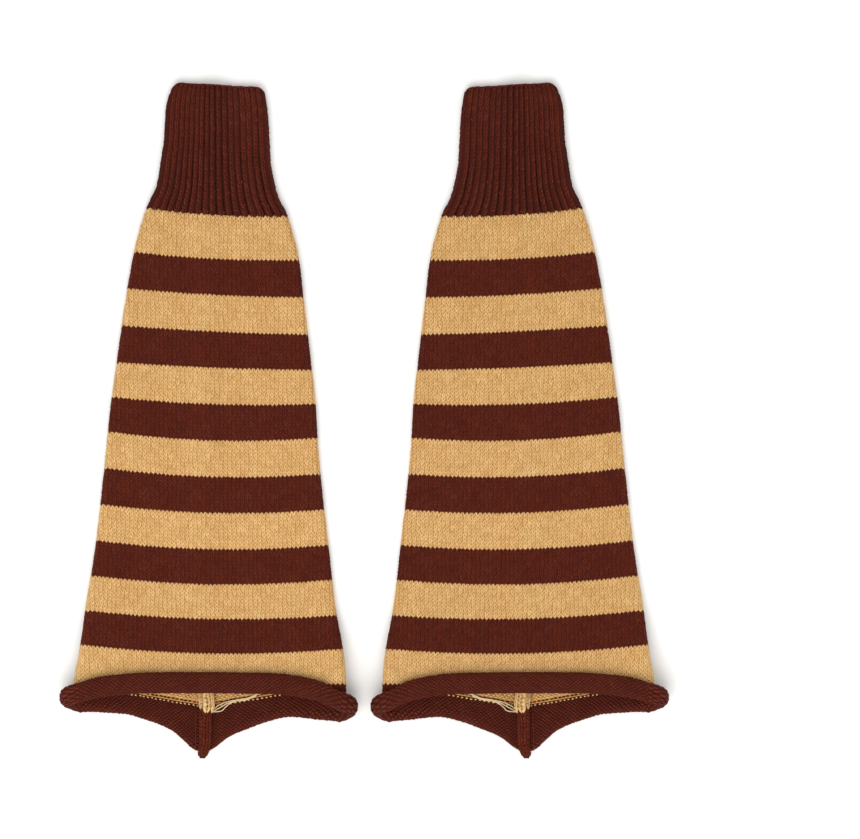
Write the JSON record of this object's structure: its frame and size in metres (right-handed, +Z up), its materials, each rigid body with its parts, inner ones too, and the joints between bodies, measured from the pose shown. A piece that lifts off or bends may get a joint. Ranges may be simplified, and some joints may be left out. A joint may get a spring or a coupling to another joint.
{
  "type": "pair of leg warmers",
  "caption": "Knitted leg warmers laid flat: ribbed cuff, flared leg in wide two-colour stripes, curled hem and back seam.",
  "frame": {"origin": "centre of the bounding box's underside, on the surface that the pair lies on, midway between the legs", "axes": "+Y from the hems towards the ribbed cuffs, +X towards the right leg as seen from above, +Z up out of the fronts"},
  "size_m": [0.4136, 0.4597, 0.0259],
  "materials": {
    "striped_knit": "matt plain knit in tan and dark brown stripes",
    "brown_rib": "matt ribbed knit in dark brown",
    "brown_hem": "matt purl side of the knit in dark brown",
    "brown_seam": "matt knit edges sewn together"
  },
  "bodies": {
    "root": {"left_rib_cuff": "brown_rib", "left_striped_leg": "striped_knit", "left_rolled_hem": "brown_hem", "left_back_seam": "brown_seam", "right_rib_cuff": "brown_rib", "right_striped_leg": "striped_knit", "right_rolled_hem": "brown_hem", "right_back_seam": "brown_seam"}
  },
  "joints": []
}
